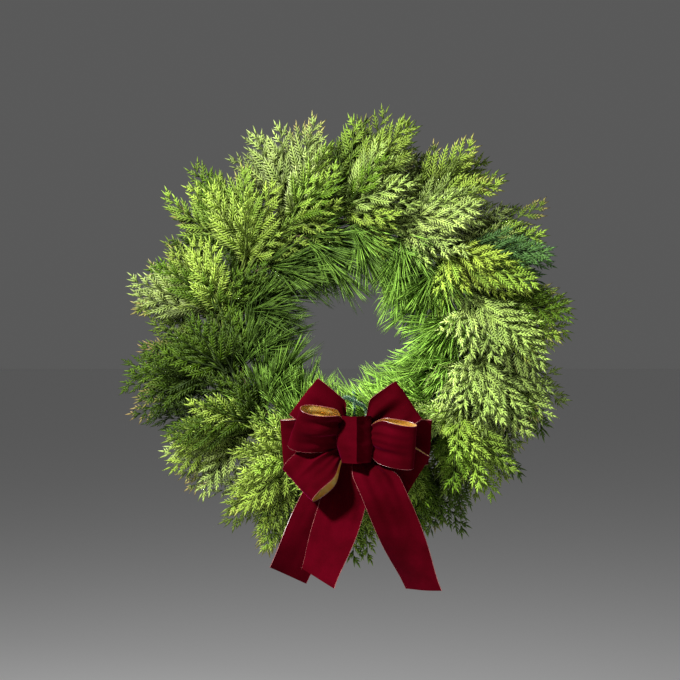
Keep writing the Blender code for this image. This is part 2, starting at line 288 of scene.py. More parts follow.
class Soup:
    """Many small closed shapes gathered for one mesh, each with its tints and its cell of
    the texture map."""

    def __init__(self):
        self.points, self.faces, self.tints = [], [], []
        self.cells, self.within, self.slots = [], [], []
        self.count = 0
        self.shapes = 0

    def add(self, points, faces, within, tints, slot=0):
        """n alike shapes: points and tints are (n, p, 3), faces (f, 3), within (p, 2)."""
        n, p, _ = points.shape
        start = self.count + p * np.arange(n)[:, None, None]
        self.points.append(points.reshape(-1, 3))
        self.faces.append((faces[None] + start).reshape(-1, 3))
        self.tints.append(np.broadcast_to(tints, points.shape).reshape(-1, 3))
        self.cells.append(np.repeat(self.shapes + np.arange(n), p))
        self.within.append(np.tile(within, (n, 1)))
        self.slots.append(np.full(n * len(faces), slot))
        self.count += n * p
        self.shapes += n

    def mesh(self, name, bends=True):
        points, faces = np.concatenate(self.points), np.concatenate(self.faces)
        if bends:
            held_back(points)
        tints = np.concatenate(self.tints)
        across = math.ceil(math.sqrt(self.shapes))
        cell = np.concatenate(self.cells)
        corner = np.stack([cell % across, cell // across], axis=1)
        maps = (corner + CELL_EDGE + (1 - 2 * CELL_EDGE) * np.concatenate(self.within)) / across
        mesh = bpy.data.meshes.new(name)
        mesh.vertices.add(len(points))
        mesh.vertices.foreach_set("co", points.astype(np.float32).ravel())
        mesh.loops.add(faces.size)
        mesh.loops.foreach_set("vertex_index", faces.astype(np.int32).ravel())
        mesh.polygons.add(len(faces))
        mesh.polygons.foreach_set("loop_start", np.arange(0, faces.size, 3, dtype=np.int32))
        mesh.polygons.foreach_set("material_index", np.concatenate(self.slots).astype(np.int32))
        mesh.update(calc_edges=True)
        tint = mesh.color_attributes.new("tint", "FLOAT_COLOR", "POINT")
        colours = np.concatenate([tints, np.ones((len(tints), 1))], axis=1)
        tint.data.foreach_set("color", colours.astype(np.float32).ravel())
        layer = mesh.uv_layers.new(name="OFBake")
        layer.data.foreach_set("uv", maps[faces].astype(np.float32).ravel())
        mesh.shade_smooth()
        return mesh


def piece(name, mesh, materials, nodes):
    obj = bpy.data.objects.new(name, mesh)
    bpy.context.scene.collection.objects.link(obj)
    for material in materials:
        mesh.materials.append(material)
    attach(obj, "root")
    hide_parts(*nodes)
    return obj


SPINDLE_WIDEST = 0.36  # where along a spindle it is widest
SPINDLE_THICK = 0.36  # its thickness as a share of its width
SPINDLE = np.array(
    [(0, 2, 1), (0, 3, 2), (0, 4, 3), (0, 1, 4), (5, 1, 2), (5, 2, 3), (5, 3, 4), (5, 4, 1)]
)
SPINDLE_MAP = np.array([(0.5, 0)] + [(u, SPINDLE_WIDEST) for u in (1, 0.5, 0, 0.5)] + [(0.5, 1)])


def spindles(soup, base, along, side, length, width, tint, tip_tint):
    """Flattened leafy twigs: base, along and side are (n, 3); length and width (n,)."""
    over = np.cross(along, side)
    reach, half = length[:, None], width[:, None] / 2
    middle = base + along * reach * SPINDLE_WIDEST
    points = np.stack(
        [
            base,
            middle + side * half,
            middle + over * half * SPINDLE_THICK,
            middle - side * half,
            middle - over * half * SPINDLE_THICK,
            base + along * reach,
        ],
        axis=1,
    )
    tints = np.stack([tint, tint, tint, tint, tint, tip_tint], axis=1)
    soup.add(points, SPINDLE, SPINDLE_MAP, tints, LEAF)


def walls(centres, side, over, radii, sides):
    """Rings of points (n, r, sides, 3) round n lines (n, r, 3)."""
    turn = (math.tau * np.arange(sides) / sides)[None, None, :, None]
    spokes = side[:, :, None] * np.cos(turn) + over[:, :, None] * np.sin(turn)
    return centres[:, :, None] + spokes * radii[:, :, None, None]


def wall_faces(rings, sides):
    faces = []
    for i in range(rings - 1):
        for j in range(sides):
            a, b = i * sides + j, i * sides + (j + 1) % sides
            faces += [(a, b, b + sides), (a, b + sides, a + sides)]
    return faces


def tubes(soup, centres, side, over, radii, tints, sides, slot=LEAF, capped=False):
    """n tubes through centres (n, r, 3) with radii (n, r), side and over like centres.

    A capped tube gets a flat first end, whose middle is lighter, as cut wood is."""
    n, rings, _ = centres.shape
    wall = walls(centres, side, over, radii, sides).reshape(n, -1, 3)
    points = np.concatenate([wall, centres[:, :1], centres[:, -1:]], axis=1)
    faces = wall_faces(rings, sides)
    first, last = rings * sides, rings * sides + 1
    for j in range(sides):
        k = (j + 1) % sides
        faces.append((first, k, j))
        faces.append((last, (rings - 1) * sides + j, (rings - 1) * sides + k))
    within = [(abs(2 * j / sides - 1), i / (rings - 1)) for i in range(rings) for j in range(sides)]
    within += [(0.5, 0.0), (0.5, 1.0)]
    wall_tints = np.repeat(np.broadcast_to(tints, centres.shape), sides, axis=1)
    ends = np.broadcast_to(tints, centres.shape)[:, [0, -1]]
    if capped:
        ends = np.stack([np.full((n, 3), CUT_WOOD), ends[:, 1]], axis=1)
    all_tints = np.concatenate([wall_tints, ends], axis=1)
    soup.add(points, np.array(faces), np.array(within), all_tints, slot)


# ---------------------------------------------------------------- greenery

STEM_DEPTH = 8.4 * MM  # from the ring's middle plane to the middle of the stems
STEM_STRAIGHT = 4 * MM  # kept straight past the clamp before a stem turns
TURN_END = 60 * MM
LIFT_END = 50 * MM
TWIG_APART = 2.55 * MM
TWIG_WIDE = 3.1 * MM
BARK_TINT = np.array([0.075, 0.055, 0.025])
TAN = np.array([0.42, 0.29, 0.12])
# How much lighter and bluer a twig's tip is than the rest: partly lighter new growth, partly a
# painted highlight that whitens the tips.
TIP_GROWTH_AND_HIGHLIGHT = np.array([1.45, 1.28, 2.2])
# Greens by name; "dark" serves only as painted shade and "fresh" only as painted light, in the
# patches below.
GREENS = {
    "bright": (0.25, 0.37, 0.045),
    "mid": (0.19, 0.31, 0.034),
    "deep": (0.078, 0.15, 0.008),
    "dark": (0.043, 0.084, 0.003),
    "blue": (0.085, 0.19, 0.045),
    "gold": (0.23, 0.32, 0.035),
    "pale": (0.3, 0.405, 0.098),
    "fresh": (0.25, 0.36, 0.075),
}
# Where one colour stands out: right and up of the ring's middle, how far it reaches (mm). The
# "dark" and "deep" patches on the left of the ring are painted shade, the "deep" one low on the
# right is the bow's painted shadow, and the "fresh" patches on the right and top right are painted
# light.
PATCHES = [
    (175, 92, 36, "gold"),
    (160, 150, 52, "pale"),
    (240, 110, 40, "blue"),
    (-110, 230, 55, "pale"),
    (-150, -58, 58, "dark"),
    (-205, -66, 60, "dark"),
    (-250, -68, 52, "deep"),
    (-285, 62, 40, "pale"),
    (-282, -22, 36, "pale"),
    (-225, 105, 36, "bright"),
    (-165, -10, 58, "deep"),
    (-185, -195, 55, "pale"),
    (-140, -140, 52, "bright"),
    (-120, -210, 50, "bright"),
    (-190, 60, 40, "deep"),
    (-150, 130, 50, "bright"),
    (60, 200, 60, "fresh"),
    (130, -20, 62, "pale"),
    (150, -70, 75, "fresh"),
    (250, -40, 60, "fresh"),
    (110, 150, 50, "fresh"),
    (170, 10, 60, "fresh"),
    (110, -245, 60, "deep"),
]
USUAL = ["bright", "mid", "mid", "bright", "deep", "mid"]


def tip_lean(angle):
    return math.radians(15 + 23 * math.cos(angle - math.radians(68)))


class Sprig:
    """The axis of one spray or twig, from its cut end to its tip."""

    def __init__(self, angle, radius, beside, heading, rise, droop, curl, roll, length, back):
        steps = np.linspace(-back, length, 46)
        share = np.clip(steps / length, 0, 1)
        turned = heading * smoothstep((steps - STEM_STRAIGHT) / TURN_END) + curl * share**2
        turned = turned[:, None]
        lifted = (rise * smoothstep(steps / LIFT_END) - droop * share**2)[:, None]
        along = clockwise(angle) * np.cos(turned) + outward(angle) * np.sin(turned)
        self.along = along * np.cos(lifted) + TO_VIEWER * np.sin(lifted)
        moved = (self.along[1:] + self.along[:-1]) / 2 * np.diff(steps)[:, None]
        run = np.concatenate([np.zeros((1, 3)), np.cumsum(moved, axis=0)])
        at_clamp = np.array([np.interp(0.0, steps, run[:, i]) for i in range(3)])
        self.points = place(angle, 0, radius, STEM_DEPTH + beside) + run - at_clamp
        self.steps = steps
        level = unit(np.cross(TO_VIEWER, self.along))
        face = np.cross(self.along, level)
        rolled = (roll * smoothstep(steps / TURN_END))[:, None]
        self.side = level * np.cos(rolled) + face * np.sin(rolled)
        self.face = np.cross(self.along, self.side)

    def at(self, values, where):
        return np.stack([np.interp(where, self.steps, values[:, i]) for i in range(3)], axis=-1)

    def stem(self, soup, thick, upto, rings, tint):
        where = np.linspace(self.steps[0], upto, rings)
        share = np.linspace(0, 1, rings)
        tubes(
            soup,
            self.at(self.points, where)[None],
            self.at(self.side, where)[None],
            self.at(self.face, where)[None],
            (thick * (1 - 0.86 * share**1.3))[None],
            tint(share)[None],
            sides=6,
            slot=WOOD,
            capped=True,
        )


def cedar_spray(soup, sprig, start, length, colour, tan, rng):
    """Side branches on both sides of the axis, each with its own rows of leafy twigs."""
    green = colour * rng.uniform(0.86, 1.12)
    leafy = length - start

    def stem_tint(share):
        leaf_share = smoothstep((share[:, None] - 0.12) / 0.2)
        return BARK_TINT * (1 - leaf_share) + green * 0.5 * leaf_share

    sprig.stem(soup, 2.0 * MM, length, 12, stem_tint)
    widest = leafy * rng.uniform(0.4, 0.54)
    cup, twist = rng.uniform(-0.3, 0.35), rng.uniform(-0.14, 0.14)
    at, sign = start, rng.choice([-1.0, 1.0])
    while at < length - 5 * MM:
        share = (at - start) / leafy
        # The outline is full near the stem and narrows to the tip.
        profile = min(1.0, 0.55 + share / 0.2 * 0.45) * (1 - 0.88 * max(0.0, share - 0.12) / 0.88)
        reach = max(widest * profile * rng.uniform(0.8, 1.16), 10 * MM)
        base = sprig.at(sprig.points, at)
        forward, side, face = (sprig.at(v, at) for v in (sprig.along, sprig.side, sprig.face))
        opening = math.radians(rng.uniform(34, 46))
        lean = rng.uniform(-0.12, 0.12) - cup * 0.5 + twist * sign
        first = unit(forward * math.cos(opening) + side * sign * math.sin(opening) + face * lean)
        tanned = tan * float(smoothstep((share - 0.5) / 0.4))
        # Painted shade: twigs are darker near the spray's stem, deeper in the spray, and lighter
        # towards its tip.
        shade = green * rng.uniform(0.85, 1.15) * (0.72 + 0.4 * share)
        branch(soup, base, first, forward, face, reach, shade, tanned, cup, rng)
        at += rng.uniform(11.0, 14.5) * MM * (1 - 0.4 * share)
        sign = -sign
    tip = sprig.at(sprig.points, length)
    # The spray's end twig has a tip 1.3 times lighter still: partly new growth, partly painted
    # highlight.
    end = green * (1 - tan) + TAN * tan
    spindles(
        soup,
        tip[None] - sprig.along[-1:] * 6 * MM,
        sprig.along[-1:],
        sprig.side[-1:],
        np.array([17 * MM]),
        np.array([TWIG_WIDE]),
        green[None],
        end[None] * 1.3,
    )


def branch(soup, base, first, forward, face, reach, green, tan, cup, rng):
    """A side branch that bends forwards, with leafy twigs on both sides and a tip."""
    bent = unit(forward + first * rng.uniform(0.3, 0.9)) - first

    def point(v):
        v = np.asarray(v)[..., None]
        return base + reach * (first * v + bent * 0.32 * v * v - face * cup * 0.22 * v * v)

    def heading(v):
        v = np.asarray(v)[..., None]
        return unit(first + bent * 0.64 * v - face * cup * 0.44 * v)

    def frame_at(v):
        way = heading(v)
        return way, unit(face - way * np.sum(way * face, axis=-1, keepdims=True))

    rings = np.array([0.0, 0.5, 1.0])
    way, over = frame_at(rings)
    # Painted shade: the branch's axis is darker at its base by the stem and lighter at its tip.
    tubes(
        soup,
        point(rings)[None],
        np.cross(over, way)[None],
        over[None] * 0.45,
        np.array([[1.4, 1.35, 1.1]]) * MM,
        np.stack([green * 0.8, green, green * 1.2])[None],
        sides=4,
    )
    count = max(4, int((reach - 2 * MM) / TWIG_APART))
    u = (np.arange(count) + 0.8 + rng.uniform(-0.12, 0.12, count)) / (count + 1.0)
    sign = np.where(np.arange(count) % 2 == 0, 1.0, -1.0)
    way, over = frame_at(u)
    across = np.cross(over, way)
    spread = np.radians(rng.uniform(30, 38, count))[:, None]
    tilt = rng.uniform(-0.08, 0.08, (count, 1))
    along = unit(way * np.cos(spread) + across * sign[:, None] * np.sin(spread) + over * tilt)
    side = unit(np.cross(over, along))
    longest = min(17 * MM, 0.18 * reach + 8.6 * MM)
    length = longest * (1 - 0.45 * u) * rng.uniform(0.84, 1.14, count)
    width = rng.uniform(2.4, 3.1, count) * MM
    # Painted shade: twigs are darker near the branch's base and lighter towards its end.
    tint = green * (rng.uniform(0.84, 1.16, count) * (0.85 + 0.3 * u))[:, None]
    tanned = (tan * smoothstep((u - 0.3) / 0.6))[:, None]
    tint = tint * (1 - 0.5 * tanned) + TAN * 0.5 * tanned
    # Tip colour: partly lighter new growth, partly painted highlight.
    light = tint * TIP_GROWTH_AND_HIGHLIGHT
    tip_tint = light * (1 - tanned) + TAN * tanned
    spindles(soup, point(u), along, side, length, width, tint, tip_tint)
    last = heading(np.array([1.0]))
    spindles(
        soup,
        point(np.array([0.86])),
        last,
        unit(np.cross(over[-1:], last)),
        np.array([min(0.14 * reach + 11 * MM, 20 * MM)]),
        np.array([TWIG_WIDE]),
        tint[-1:],
        tip_tint[-1:],
    )


def green_at(spot, rng):
    right, up = spot[0] - CENTRE[0], spot[2] - CENTRE[2]
    for x, z, reach, name in PATCHES:
        if math.hypot(right - x * MM, up - z * MM) < reach * MM * rng.uniform(0.6, 1.15):
            return np.array(GREENS[name])
    return np.array(GREENS[USUAL[rng.integers(len(USUAL))]])


# How far from the ring's middle each kind of bunch has its stems.
STEM_RADIUS = {"cedar_outer": 196 * MM, "cedar_front": 182.5 * MM, "pine_inner": 169 * MM}


def cedar_bunch(kind, k, sprays):
    rng = np.random.default_rng([7, k, len(kind)])
    colours = np.random.default_rng([13, k, len(kind)])
    angle = (k + 0.5) * PITCH
    soup = Soup()
    for spray in sprays(angle, rng):
        outwards, forwards, heading, rise, droop, length, start, roll, painted_layer_shade = spray
        sprig = Sprig(
            angle,
            STEM_RADIUS[kind] + outwards,
            forwards,
            heading,
            rise,
            droop,
            math.radians(rng.uniform(-14, 14)),
            roll,
            length,
            rng.uniform(20, 30) * MM,
        )
        colour = green_at(sprig.at(sprig.points, start + 0.55 * (length - start)), colours)
        tan = rng.uniform(0.3, 0.9) if kind == "cedar_outer" and rng.random() < 0.4 else 0.0
        # The spray's colour times its layer's painted shade.
        cedar_spray(soup, sprig, start, length, colour * painted_layer_shade, tan, rng)
    name = f"{kind}_{k + 1:02d}"
    piece(name + "_sprays", soup.mesh(name + "_sprays"), [CEDAR, BARK], [name])


def under_bow(angle):
    """1 where a bunch lies under the bow, 0 away from it."""
    return max(0.0, math.cos(angle + 1.5 * PITCH - math.pi)) ** 2


# Swing outwards and lift towards the viewer (degrees), length (mm) and how light, from the lowest
# spray of a bunch to the top one. How light is painted shade and light: the lowest sprays are
# painted dark where the sprays above shade them, so the gaps between the upper sprays read as
# shade, and the top sprays are painted lighter.
OUTER_LAYERS = [
    (-38, 2, 138, 0.42),
    (-22, 2, 154, 0.42),
    (-5, 2, 160, 0.45),
    (12, 2, 156, 0.45),
    (29, 3, 146, 0.42),
    (44, 3, 128, 0.42),
    (-28, 12, 140, 0.75),
    (-12, 12, 152, 0.8),
    (4, 13, 156, 0.85),
    (20, 12, 148, 0.8),
]
FRONT_LAYERS = [
    (24, 4, 128, 0.3),
    (-18, 4, 118, 0.3),
    (-72, 5, 104, 0.3),
    (78, 6, 146, 0.32),
    (54, 9, 166, 0.35),
    (34, 10, 174, 0.35),
    (8, 10, 150, 0.32),
    (-34, 9, 132, 0.32),
    (-56, 11, 112, 0.35),
    (70, 17, 150, 0.6),
    (44, 19, 168, 0.6),
    (20, 19, 160, 0.55),
    (-10, 18, 132, 0.5),
    (56, 26, 140, 1.0),
    (30, 27, 156, 1.0),
    (4, 27, 144, 0.95),
    (-24, 24, 118, 0.8),
    (-48, 20, 112, 0.75),
    (40, 36, 124, 1.15),
    (14, 36, 130, 1.15),
    (-12, 33, 114, 1.05),
    (-36, 29, 102, 0.9),
]
# Cedar that reaches the inner edge, on the right of the ring only.
INNER_LAYERS = [
    (-62, 20, 118, 0.9),
    (-46, 30, 112, 1.1),
    (-74, 16, 104, 0.9),
    (-58, 36, 96, 1.2),
]


def outer_sprays(angle, rng):
    """Each spray's place in the clamp, heading, rise, droop, length, start, roll and shade."""
    longer = 0.99 + 0.05 * math.cos(angle + 0.9 * PITCH)
    longer += 0.08 * max(0.0, math.cos(angle - PITCH)) ** 8
    for i, (swing, lift, length, shade) in enumerate(OUTER_LAYERS):
        yield (
            (i % 5 - 2) * 2.4 * MM,
            (-3.8 if i < 5 else 1.0) * MM,
            math.radians(66 + swing + rng.uniform(-8, 8)) - tip_lean(angle + 0.7 * PITCH),
            math.radians(lift + rng.uniform(-2, 5)),
            math.radians(rng.uniform(-2, 12)),
            length * MM * rng.uniform(0.86, 1.12) * longer,
            rng.uniform(24, 36) * MM,
            math.radians(rng.uniform(-30, 14)),
            # Painted light and shade: sprays on the right of the ring are painted lighter, those on
            # the left darker.
            shade * (1 + 0.1 * math.sin(angle)),
        )


def front_sprays(angle, rng):
    """The same for the sprays over the front. Painted light and shade: the right of the ring is
    painted lighter and the left darker, most of all in the sprays that lean inwards.
    """
    fuller = 1 + 0.55 * under_bow(angle)
    to_right = math.sin(angle)
    layers = FRONT_LAYERS + (INNER_LAYERS if 30 < math.degrees(angle) < 125 else [])
    for i, (swing, lift, length, shade) in enumerate(layers):
        inner = max(0.0, -swing / 60)
        yield (
            (i % 4 - 1.5) * 3.4 * MM,
            (i // 4 - 1.5) * 2.6 * MM,
            math.radians(swing + rng.uniform(-10, 10)) - 0.4 * tip_lean(angle + PITCH),
            math.radians(lift * fuller + rng.uniform(-4, 5)),
            math.radians(rng.uniform(8, 30)),
            length * MM * rng.uniform(0.84, 1.1),
            rng.uniform(24, 38) * MM,
            math.radians(rng.uniform(-34, 34)),
            # Painted light on the right of the ring, painted shade on its left.
            shade * (1 + (0.1 + 0.3 * inner) * to_right + 0.12 * max(0.0, to_right)),
        )


# Each pine sprig's place in the clamp (mm), length (mm), swing outwards and lift (degrees).
PINE_SPRIGS = [
    (-3.6, -3.4, 104, -50, 13),
    (2.2, -3.4, 88, -66, 13),
    (-1.0, 1.0, 110, -78, 19),
    (0.6, 4.4, 88, -90, 24),
]
NEEDLED = 58 * MM  # the end of a sprig that carries needles
BUNDLES = 34
IN_BUNDLE = 5
BUNDLE_TURN = 2.4  # radians from one bundle to the next, round the twig
PINE_TINT = np.array([0.044, 0.094, 0.011])
# How much lighter each needle gets towards its tip: partly the needles' own lighter tips, partly a
# painted highlight.
PINE_TIP_AND_HIGHLIGHT = np.array([5.2, 4.5, 5.4])


def pine_bunch(k):
    rng = np.random.default_rng([11, k])
    angle = (k + 0.5) * PITCH
    soup = Soup()
    for outwards, forwards, length, swing, lift in PINE_SPRIGS:
        length *= rng.uniform(0.9, 1.08) * MM
        sprig = Sprig(
            angle,
            STEM_RADIUS["pine_inner"] + outwards * MM,
            forwards * MM,
            math.radians(swing + rng.uniform(-6, 6)),
            math.radians(lift + rng.uniform(-4, 4)),
            math.radians(rng.uniform(0, 14)),
            math.radians(rng.uniform(-12, 6)),
            0.0,
            length,
            rng.uniform(20, 28) * MM,
        )
        sprig.stem(soup, 2.4 * MM, length, 9, twig_tint)
        pine_needles(soup, sprig, length, angle, rng)
    name = f"pine_inner_{k + 1:02d}"
    piece(name + "_needles", soup.mesh(name + "_needles"), [PINE, BARK], [name])


def twig_tint(share):
    return BARK_TINT * (0.8 + 0.5 * share[:, None])


def pine_needles(soup, sprig, length, angle, rng):
    """Bundles of long needles all round the twig, swept forwards along it."""

    def alike(low, high):
        return np.repeat(rng.uniform(low, high, BUNDLES), IN_BUNDLE)

    at = np.repeat(length - np.linspace(NEEDLED, 0, BUNDLES), IN_BUNDLE)
    n = len(at)
    base = sprig.at(sprig.points, at)
    forward, side, face = (sprig.at(v, at) for v in (sprig.along, sprig.side, sprig.face))
    turn = np.repeat(np.arange(BUNDLES) * BUNDLE_TURN, IN_BUNDLE) + alike(-0.3, 0.3)
    turn = (turn + rng.uniform(-0.3, 0.3, n))[:, None]
    out = side * np.cos(turn) + face * np.sin(turn)
    near_tip = 1 - (length - at) / NEEDLED
    spread = np.radians(alike(22, 44) + rng.uniform(-9, 9, n))
    spread = (spread * (1 - 0.4 * near_tip**2))[:, None]
    first = unit(forward * np.cos(spread) + out * np.sin(spread))
    reach = (alike(54, 74) * rng.uniform(0.9, 1.05, n) * MM)[:, None, None]
    bend = rng.uniform(0.02, 0.14, n)[:, None]
    stray = unit(rng.normal(size=(n, 3))) * 0.05
    later = (forward - first) * bend + stray
    t = np.array([0.0, 0.4, 0.8, 1.0])[None, :, None]
    line = base[:, None] + reach * (first[:, None] * t + later[:, None] * t**2)
    way = unit(np.gradient(line, axis=1))
    across = unit(np.cross(way, out[:, None]))
    over = np.cross(across, way)
    radii = np.array([0.3, 0.62, 0.56, 0.05]) * MM * rng.uniform(0.8, 1.2, (n, 1))
    shade = PINE_TINT * alike(0.5, 1.4)[:, None]
    shade = shade * rng.uniform(0.7, 1.4, (n, 1))
    # Painted light and shade: needles on the right of the ring are painted lighter, those on the
    # left darker.
    to_right = math.sin(angle)
    shade = (shade * (1 + (0.45 if to_right > 0 else 0.64) * to_right))[:, None]
    # Lighter towards the tip: partly the needle's own colour, partly painted highlight.
    lighter = np.array([0.0, 0.3, 0.8, 1.1])[None, :, None]
    tints = shade + (shade * PINE_TIP_AND_HIGHLIGHT - shade) * lighter
    needles(soup, line, across, over, radii, tints)


def needles(soup, line, across, over, radii, tints):
    """Three-sided needles that end in a point."""
    wall = walls(line[:, :3], across[:, :3], over[:, :3], radii[:, :3], 3)
    points = np.concatenate([wall.reshape(-1, 9, 3), line[:, 3:]], axis=1)
    faces = wall_faces(3, 3)
    for j in range(3):
        faces.append((6 + j, 6 + (j + 1) % 3, 9))
    within = [(abs(2 * j / 3 - 1), at) for at in (0.0, 0.4, 0.8) for j in range(3)]
    within.append((0.5, 1.0))
    tints = np.concatenate([np.repeat(tints[:, :3], 3, axis=1), tints[:, 3:]], axis=1)
    soup.add(points, np.array(faces), np.array(within), tints)


def greenery():
    for k in range(STATIONS):
        cedar_bunch("cedar_outer", k, outer_sprays)
        cedar_bunch("cedar_front", k, front_sprays)
        pine_bunch(k)


# ---------------------------------------------------------------- wire ring


WIRE_SIDES = 10
RAIL_STEPS = 144


def round_wire(line, way, across, thickness):
    """Rings of points round a line (r, 3) with its directions, as one flat list."""
    over = np.cross(across, way)
    radii = np.full((1, len(line)), thickness / 2)
    return list(walls(line[None], across[None], over[None], radii, WIRE_SIDES).reshape(-1, 3))


def grid_faces(rows, columns, wrap_rows, start=0):
    """Quads of a grid whose columns go round."""
    faces = []
    for i in range(rows if wrap_rows else rows - 1):
        for j in range(columns):
            a, b = i * columns, (i + 1) % rows * columns
            k = (j + 1) % columns
            faces.append((start + a + j, start + a + k, start + b + k, start + b + j))
    return faces


def wire_ring():
    points, faces = [], []
    for radius in (OUTER_RAIL, INNER_RAIL):
        turns = math.tau * np.arange(RAIL_STEPS) / RAIL_STEPS
        line = np.array([place(a, 0, radius, 0) for a in turns])
        way = directions(line, closed=True)
        across = unit(np.cross(way, TO_VIEWER + 1e-4))
        faces += grid_faces(RAIL_STEPS, WIRE_SIDES, True, len(points))
        points += round_wire(line, way, across, RAIL_WIRE)
    for k in range(STATIONS):
        angle = (k + 0.5) * PITCH
        line = clamp_line(angle)
        start, rows = len(points), len(line)
        last = start + (rows - 1) * WIRE_SIDES
        way = directions(line)
        across = np.broadcast_to(clockwise(angle), way.shape)
        faces += grid_faces(rows, WIRE_SIDES, False, start)
        faces.append(tuple(start + j for j in reversed(range(WIRE_SIDES))))
        faces.append(tuple(last + j for j in range(WIRE_SIDES)))
        points += round_wire(line, way, across, CLAMP_WIRE)
    mesh = bpy.data.meshes.new("wire_ring")
    mesh.from_pydata([tuple(p) for p in points], [], faces)
    mesh.shade_smooth()
    piece("wire_ring", mesh, [ENAMEL], ["wire_ring_frame"])


def clamp_line(angle):
    """A clamp's wire under both rails, up outside them and bent over, as a smooth line."""
    weld = 0.6 * MM
    low = -(RAIL_WIRE + CLAMP_WIRE) / 2 + weld
    inner, outer = INNER_RAIL - CLAMP_OUT, OUTER_RAIL + CLAMP_OUT
    middle, bend, high = (inner + outer) / 2, 4 * MM, 20 * MM
    half = [(middle, low), (outer - bend, low)]
    half += [
        (outer - bend + bend * math.sin(a), low + bend - bend * math.cos(a))
        for a in np.linspace(0.3, math.pi / 2, 5)
    ]
    half += [
        (outer - bend + bend * math.cos(a), high - bend + bend * math.sin(a))
        for a in np.linspace(0, math.pi / 2 - 0.3, 5)
    ]
    half += [(outer - 2 * bend, high), (middle + 5 * MM, high - 1.5 * MM)]
    mirrored = [(2 * middle - radius, depth) for radius, depth in half[:0:-1]]
    return np.array([place(angle, 0, radius, depth) for radius, depth in mirrored + half])


# ---------------------------------------------------------------- bow

RIBBON = 63.5 * MM
RIBBON_SKIN = 0.35 * MM  # half the ribbon's thickness
RIBBON_EDGE = 0.42 * MM  # radius of the bead over the edge wire
RIBBON_COLUMNS = 33
FACE, BACK, WIRED = 0, 1, 2  # places in a ribbon's list of materials
GATHERED = 14 * MM  # the ribbon's width at the waist
LAYER = 1.35 * MM  # from one ribbon to the next in the waist
LAYERS = 14
TIE_WIRE = 5.0 * MM
TIE_GAP = 0.3 * MM
# Direction anticlockwise from the right (degrees), length (mm), rise to the viewer
# (degrees), arch and half opening (mm), lean (degrees), the share of its length by which
# it has spread to full width, layer in the waist and how far it is raised (mm).
LOOPS = {
    "bow_loop_back_left": (184, 101, 0, 1, 6, 8, 0.56, 3, 0),
    "bow_loop_back_right": (-4, 105, -1, -2, 6, -8, 0.55, 3, 0),
    "bow_loop_low_left": (219, 104, 14, 1, 21, -25, 0.7, 5, 0),
    "bow_loop_low_right": (-31, 102, 5, -1.4, 6, -12, 0.77, 5, 0),
    "bow_loop_top_left": (140, 93, 11, 2, 8, -9, 0.5, 9, 0),
    "bow_loop_top_right": (36, 92, 9, 0, 10, 8, 0.6, 9, 0),
    "bow_loop_front_left": (174, 89, 22, 10, 18, 32, 0.44, 11, 8),
    "bow_loop_front_right": (-11, 88, 21, 8, 14, -20, 0.5, 11, 5),
}
# Folds along a loop: where across it, from -1 to 1, how high (mm) and how wide.
FOLDS = {
    "bow_loop_low_left": [(0.15, 4.0, 0.12), (0.55, -2.5, 0.16), (0.85, 1.6, 0.2)],
    "bow_loop_low_right": [(0.1, 3.5, 0.18), (-0.4, -2.5, 0.2)],
    "bow_loop_top_left": [(0.35, 2.6, 0.16), (-0.2, -2.0, 0.2)],
    "bow_loop_top_right": [(-0.45, 4.6, 0.16), (0.05, -2.4, 0.2)],
    "bow_loop_front_left": [(-0.45, -5.0, 0.2), (0.1, 3.0, 0.2), (0.5, -3.0, 0.15)],
    "bow_loop_front_right": [(0.35, -3.0, 0.2), (-0.2, 3.0, 0.25), (-0.7, -3.0, 0.2)],
}
# Layer in the waist, then the shoulder and the end, right and up of the waist and towards
# the viewer (mm), the slope of the cut end and how far the end is turned (degrees).
TAILS = {
    "bow_tail_left_outer": (0, (-38, -75, -6), (-93, -191, 8), -30, -28),
    "bow_tail_left_inner": (1, (-11, -64, -2), (-51, -191, 30), -24, 38),
    "bow_tail_right": (8, (31, -56, 32), (95, -211, 8), 7, 41),
}


def layer_depth(layer):
    return (layer - (LAYERS - 1) / 2) * LAYER


def from_waist(right, up, towards):
    return WAIST + np.array([right, -towards, up])


def lerp(a, b, t):
    return a + (b - a) * t


def pleats(x, phase):
    return 0.7 * np.sin(x * 8.2 + phase) + 0.35 * np.sin(x * 15.7 + 2.1 * phase)


